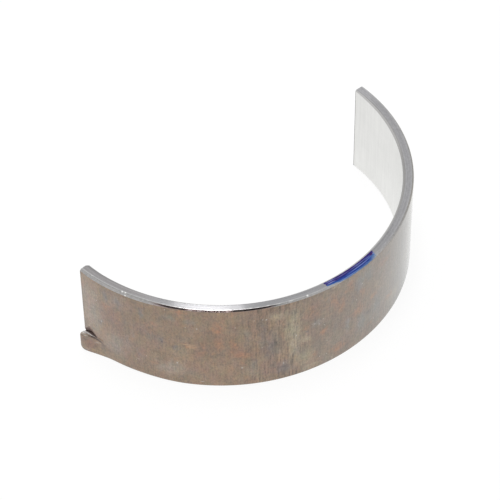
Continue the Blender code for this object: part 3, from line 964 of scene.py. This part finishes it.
def bearing_lining():
    """Bright bored lining with faint upright lines and a darker broken edge along both parting faces."""
    s = Shader("bearing_lining")
    upright, bored, clouds = s.noise("upright lines"), s.noise("bored lines"), s.noise("lining clouds")
    shade = s.plus(s.step(upright, *WIDE, *LINING_UPRIGHT_SHADE), s.swing(clouds, LINING_CLOUD_SHADE))
    shade = s.plus(shade, s.swing(bored, LINING_BORED_SHADE))
    shade = s.plus(shade, s.step(s.across, *LINING_LIGHTER_LOW))
    from_end = s.math("MINIMUM", s.arc, s.minus(ARC_LENGTH, s.arc))
    colour = s.mix(s.step(from_end, *BROKEN_EDGE_ENDS), s.shaded(LINING_METAL, shade), BROKEN_EDGE)
    relief = s.plus(upright, s.times(bored, BORED_RELIEF))
    return s.finish(colour, s.step(clouds, *WIDE, *LINING_ROUGHNESS), 1.0, s.bump(relief, LINING_BUMP))


# Streaks on the lug's sheared face: arc, depth, half length along the arc, half width, strength. The bright
# ones are burnished steel whitened into a painted highlight, the second along the lug's edge.
SHEARED_BURNISH_AND_HIGHLIGHT_STREAKS = ((1.05, -0.16, 1.3, 0.2, 1.0), (0.3, -0.55, 0.5, 0.3, 0.3))
SHEARED_DARK_STREAKS = ((0.75, -0.38, 0.35, 0.06, 0.55), (1.35, -0.29, 0.5, 0.05, 0.6))
SHEARED_STEEL = (0.48, 0.465, 0.445)
SHEARED_DARK = (0.08, 0.06, 0.055)
BURNISH_AND_HIGHLIGHT_WHITE = (1.0, 0.98, 0.96)
SHEARED_SHADE = (0.75, 1.25)
SHEARED_ROUGHNESS = 0.5
SHEARED_METALLIC = 0.3
SHEARED_BUMP = 0.02
NICK_DARK = (0.16, 0.112, 0.1)
NICK_BROWN = (0.3, 0.225, 0.2)
NICK_ROUGHNESS = 0.7
NICK_METALLIC = 0.1
NICK_BUMP = 0.04
PARTING_DARK = (0.42, 0.41, 0.4)
PARTING_STEEL = (0.54, 0.53, 0.52)
PARTING_LINING = (0.62, 0.62, 0.61)
PARTING_ROUGHNESS = 0.32
PARTING_BUMP = 0.01


def sheared_edge():
    """Torn face of the lug: bright streaks along the arc, burnished steel with painted highlight, with dark
    ones between.
    """
    s = Shader("sheared_edge")
    torn_streaks = s.noise("torn streaks")
    colour = s.shaded(SHEARED_STEEL, s.step(torn_streaks, *NARROW, *SHEARED_SHADE))
    colour = s.mix(stains(s, s.place, SHEARED_DARK_STREAKS), colour, SHEARED_DARK)
    # bright streaks: burnished steel with painted highlight
    colour = s.mix(stains(s, s.place, SHEARED_BURNISH_AND_HIGHLIGHT_STREAKS), colour, BURNISH_AND_HIGHLIGHT_WHITE)
    return s.finish(colour, SHEARED_ROUGHNESS, SHEARED_METALLIC, s.bump(torn_streaks, SHEARED_BUMP))


def torn_nick():
    """Rough brown bottom of the nick."""
    s = Shader("torn_nick")
    torn_grain = s.noise("torn grain")
    colour = s.mix(s.step(torn_grain, *NARROW), NICK_DARK, NICK_BROWN)
    return s.finish(colour, NICK_ROUGHNESS, NICK_METALLIC, s.bump(torn_grain, NICK_BUMP))


def parting_face():
    """Broached steel with the edge of the lining. Here the map's first axis is the depth."""
    s = Shader("parting_face")
    broached = s.noise("broached lines")
    colour = s.mix(s.step(broached, *WIDE), PARTING_DARK, PARTING_STEEL)
    in_lining = s.step(s.arc, SEAM_DEPTH - SEAM_EDGE, SEAM_DEPTH + SEAM_EDGE)
    colour = s.mix(in_lining, colour, PARTING_LINING)
    return s.finish(colour, PARTING_ROUGHNESS, 1.0, s.bump(broached, PARTING_BUMP))


def dressed_shell():
    piece = bpy.data.objects.new("worn_bearing_shell", shell_mesh())
    bpy.context.scene.collection.objects.link(piece)
    for look in (tarnished_back, turned_side, outer_chamfer_steel, bearing_lining, lining_bevel, sheared_edge,
                 torn_nick, parting_face):
        piece.data.materials.append(look())
    piece.data.shade_smooth()
    weighted = piece.modifiers.new("even_normals", "WEIGHTED_NORMAL")
    weighted.weight = NORMAL_WEIGHT
    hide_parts(NODE)
    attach(piece, "root")


# Camera, fitted to the photograph
CAMERA_AZIMUTH = -0.7385222411
CAMERA_ELEVATION = 0.8004309435
CAMERA_ROLL = -0.014456637
CAMERA_DISTANCE = 325.98
CAMERA_RIGHT = 3.738
CAMERA_UP = -5.688
FOCAL_PIXELS = 2354.56
PHOTO_PIXELS = 500
SENSOR_WIDTH = 36.0
CLIP_START = 0.01


def camera_axes():
    """Directions to the right, up and back of the camera."""
    level = math.cos(CAMERA_ELEVATION)
    back = Vector((math.sin(CAMERA_AZIMUTH) * level, -math.cos(CAMERA_AZIMUTH) * level,
                   math.sin(CAMERA_ELEVATION)))
    right = Vector((math.cos(CAMERA_AZIMUTH), math.sin(CAMERA_AZIMUTH), 0.0))
    up = back.cross(right)
    turn = Matrix.Rotation(CAMERA_ROLL, 3, back)
    return turn @ right, turn @ up, back


def add_camera():
    right, up, back = camera_axes()
    centre = Vector((0.0, CROWN_MID_WALL, WIDTH / 2))
    spot = (centre + back * CAMERA_DISTANCE + right * CAMERA_RIGHT + up * CAMERA_UP) * MM
    data = bpy.data.cameras.new("camera")
    data.sensor_width = SENSOR_WIDTH
    data.lens = FOCAL_PIXELS * SENSOR_WIDTH / PHOTO_PIXELS
    data.clip_start = CLIP_START
    camera = bpy.data.objects.new("camera", data)
    rotation = Matrix((right, up, back)).transposed()
    camera.matrix_world = Matrix.Translation(spot) @ rotation.to_4x4()
    bpy.context.scene.collection.objects.link(camera)
    bpy.context.scene.camera = camera
    return back


# Floor and room; the room is darker in a round patch behind the camera, turned a little from it
FLOOR_HALF = 3.0
FLOOR_COLOUR = (0.12, 0.12, 0.12)
FLOOR_GLOW = 0.9
FLOOR_ROUGHNESS = 0.9
WHITE = (1.0, 1.0, 1.0, 1.0)
ROOM_LIGHT = 0.8
DARK_ROOM = 0.03
DARK_ROOM_TURN = math.radians(-6)
DARK_ROOM_EDGE = (25.5, 28.0)
# Softbox overhead: the direction that it stands in, the one its first side runs along, and its measures
SOFTBOX_DIRECTION = (-0.05, 0.045, 1.0)
SOFTBOX_SIDE = (0.682, -0.731, 0.0)
SOFTBOX_DISTANCE = 0.9
SOFTBOX_SIZE = (0.172, 0.5)
SOFTBOX_POWER = 2.75


def add_floor():
    """Pale lit table top: it glows a little, so that the shell's contact shadow stays faint."""
    corners = [(x * FLOOR_HALF, y * FLOOR_HALF, 0) for x, y in ((-1, -1), (1, -1), (1, 1), (-1, 1))]
    data = bpy.data.meshes.new("floor")
    data.from_pydata(corners, [], [(0, 1, 2, 3)])
    floor = bpy.data.objects.new("floor", data)
    bpy.context.scene.collection.objects.link(floor)
    material = bpy.data.materials.new("pale_floor")
    material.use_nodes = True
    surface = material.node_tree.nodes["Principled BSDF"]
    surface.inputs["Base Color"].default_value = (*FLOOR_COLOUR, 1.0)
    surface.inputs["Roughness"].default_value = FLOOR_ROUGHNESS
    surface.inputs["Specular IOR Level"].default_value = 0.0
    surface.inputs["Emission Color"].default_value = WHITE
    surface.inputs["Emission Strength"].default_value = FLOOR_GLOW
    data.materials.append(material)


def add_softbox():
    """Soft light that faces the shell from above. It draws the highlight on the side face."""
    data = bpy.data.lights.new("top_softbox", "AREA")
    data.shape = "RECTANGLE"
    data.size, data.size_y = SOFTBOX_SIZE
    data.energy = SOFTBOX_POWER
    light = bpy.data.objects.new("top_softbox", data)
    bpy.context.scene.collection.objects.link(light)
    target = Vector((0.0, CROWN_MID_WALL, 0.0)) * MM
    towards = Vector(SOFTBOX_DIRECTION).normalized()
    second_side = towards.cross(Vector(SOFTBOX_SIDE)).normalized()
    axes = Matrix((second_side.cross(towards), second_side, towards)).transposed()
    light.matrix_world = Matrix.Translation(target + towards * SOFTBOX_DISTANCE) @ axes.to_4x4()


def add_room(towards_camera):
    """Even pale room with the dark patch."""
    world = bpy.data.worlds.new("room")
    bpy.context.scene.world = world
    world.use_nodes = True
    tree = world.node_tree
    sky = tree.nodes["Background"]
    sky.inputs["Color"].default_value = WHITE
    coordinates = tree.nodes.new("ShaderNodeTexCoord")
    facing = tree.nodes.new("ShaderNodeVectorMath")
    facing.operation = "DOT_PRODUCT"
    facing.inputs[1].default_value = Matrix.Rotation(DARK_ROOM_TURN, 3, "Z") @ towards_camera
    tree.links.new(coordinates.outputs["Generated"], facing.inputs[0])
    level = tree.nodes.new("ShaderNodeMapRange")
    level.interpolation_type = "SMOOTHSTEP"
    level.inputs["From Min"].default_value = math.cos(math.radians(DARK_ROOM_EDGE[1]))
    level.inputs["From Max"].default_value = math.cos(math.radians(DARK_ROOM_EDGE[0]))
    level.inputs["To Min"].default_value = ROOM_LIGHT
    level.inputs["To Max"].default_value = DARK_ROOM
    tree.links.new(facing.outputs["Value"], level.inputs["Value"])
    tree.links.new(level.outputs["Result"], sky.inputs["Strength"])


dressed_shell()
towards_camera = add_camera()
add_floor()
add_room(towards_camera)
add_softbox()
bpy.context.scene.view_settings.view_transform = "Standard"
